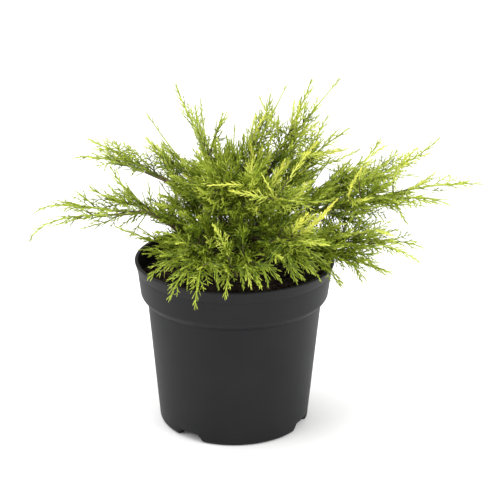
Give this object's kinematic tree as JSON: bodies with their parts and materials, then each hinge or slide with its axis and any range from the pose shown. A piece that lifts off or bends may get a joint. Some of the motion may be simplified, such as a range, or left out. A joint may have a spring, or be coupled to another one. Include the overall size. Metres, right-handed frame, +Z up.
{
  "type": "potted spreading juniper",
  "caption": "Spreading lime-green juniper with arching feathery boughs, growing in a round black nursery pot with a deep collar.",
  "frame": {"origin": "centre of the flat pad under the pot, on the surface the pot stands on", "axes": "+X to the right of the front view, along the longest reach of the crown; +Y to the back; +Z up, out of the pot"},
  "size_m": [0.4355, 0.299, 0.338],
  "materials": {
    "pot_plastic": "satin",
    "peat": "matte",
    "bark": "matte",
    "foliage": "matte"
  },
  "bodies": {
    "root": {"bough_back_left": "bark", "bough_back_low": "bark", "bough_front": "bark", "bough_front_left": "bark", "bough_front_up": "bark", "bough_left_high": "bark", "bough_left_low": "bark", "bough_left_mid": "bark", "bough_left_under": "bark", "bough_right_far": "bark", "bough_right_front": "bark", "bough_right_high": "bark", "bough_right_low": "bark", "bough_right_up": "bark", "bough_top_left": "bark", "bough_top_mid": "bark", "bough_top_right": "bark", "foliage_back_left_a": "foliage", "foliage_back_left_b": "foliage", "foliage_back_low_a": "foliage", "foliage_back_low_b": "foliage", "foliage_back_low_c": "foliage", "foliage_front_a": "foliage", "foliage_front_b": "foliage", "foliage_front_left_a": "foliage", "foliage_front_left_b": "foliage", "foliage_front_left_c": "foliage", "foliage_front_up_a": "foliage", "foliage_front_up_b": "foliage", "foliage_front_up_c": "foliage", "foliage_left_high_a": "foliage", "foliage_left_high_b": "foliage", "foliage_left_low_a": "foliage", "foliage_left_low_b": "foliage", "foliage_left_mid_a": "foliage", "foliage_left_mid_b": "foliage", "foliage_left_under_a": "foliage", "foliage_left_under_b": "foliage", "foliage_right_far_a": "foliage", "foliage_right_far_b": "foliage", "foliage_right_front_a": "foliage", "foliage_right_front_b": "foliage", "foliage_right_high_a": "foliage", "foliage_right_high_b": "foliage", "foliage_right_high_c": "foliage", "foliage_right_low_a": "foliage", "foliage_right_low_b": "foliage", "foliage_right_low_c": "foliage", "foliage_right_up_a": "foliage", "foliage_right_up_b": "foliage", "foliage_top_left_a": "foliage", "foliage_top_left_b": "foliage", "foliage_top_left_c": "foliage", "foliage_top_mid_a": "foliage", "foliage_top_mid_b": "foliage", "foliage_top_right_a": "foliage", "foliage_top_right_b": "foliage", "pot": "pot_plastic", "soil": "peat", "stem": "bark"}
  },
  "joints": []
}
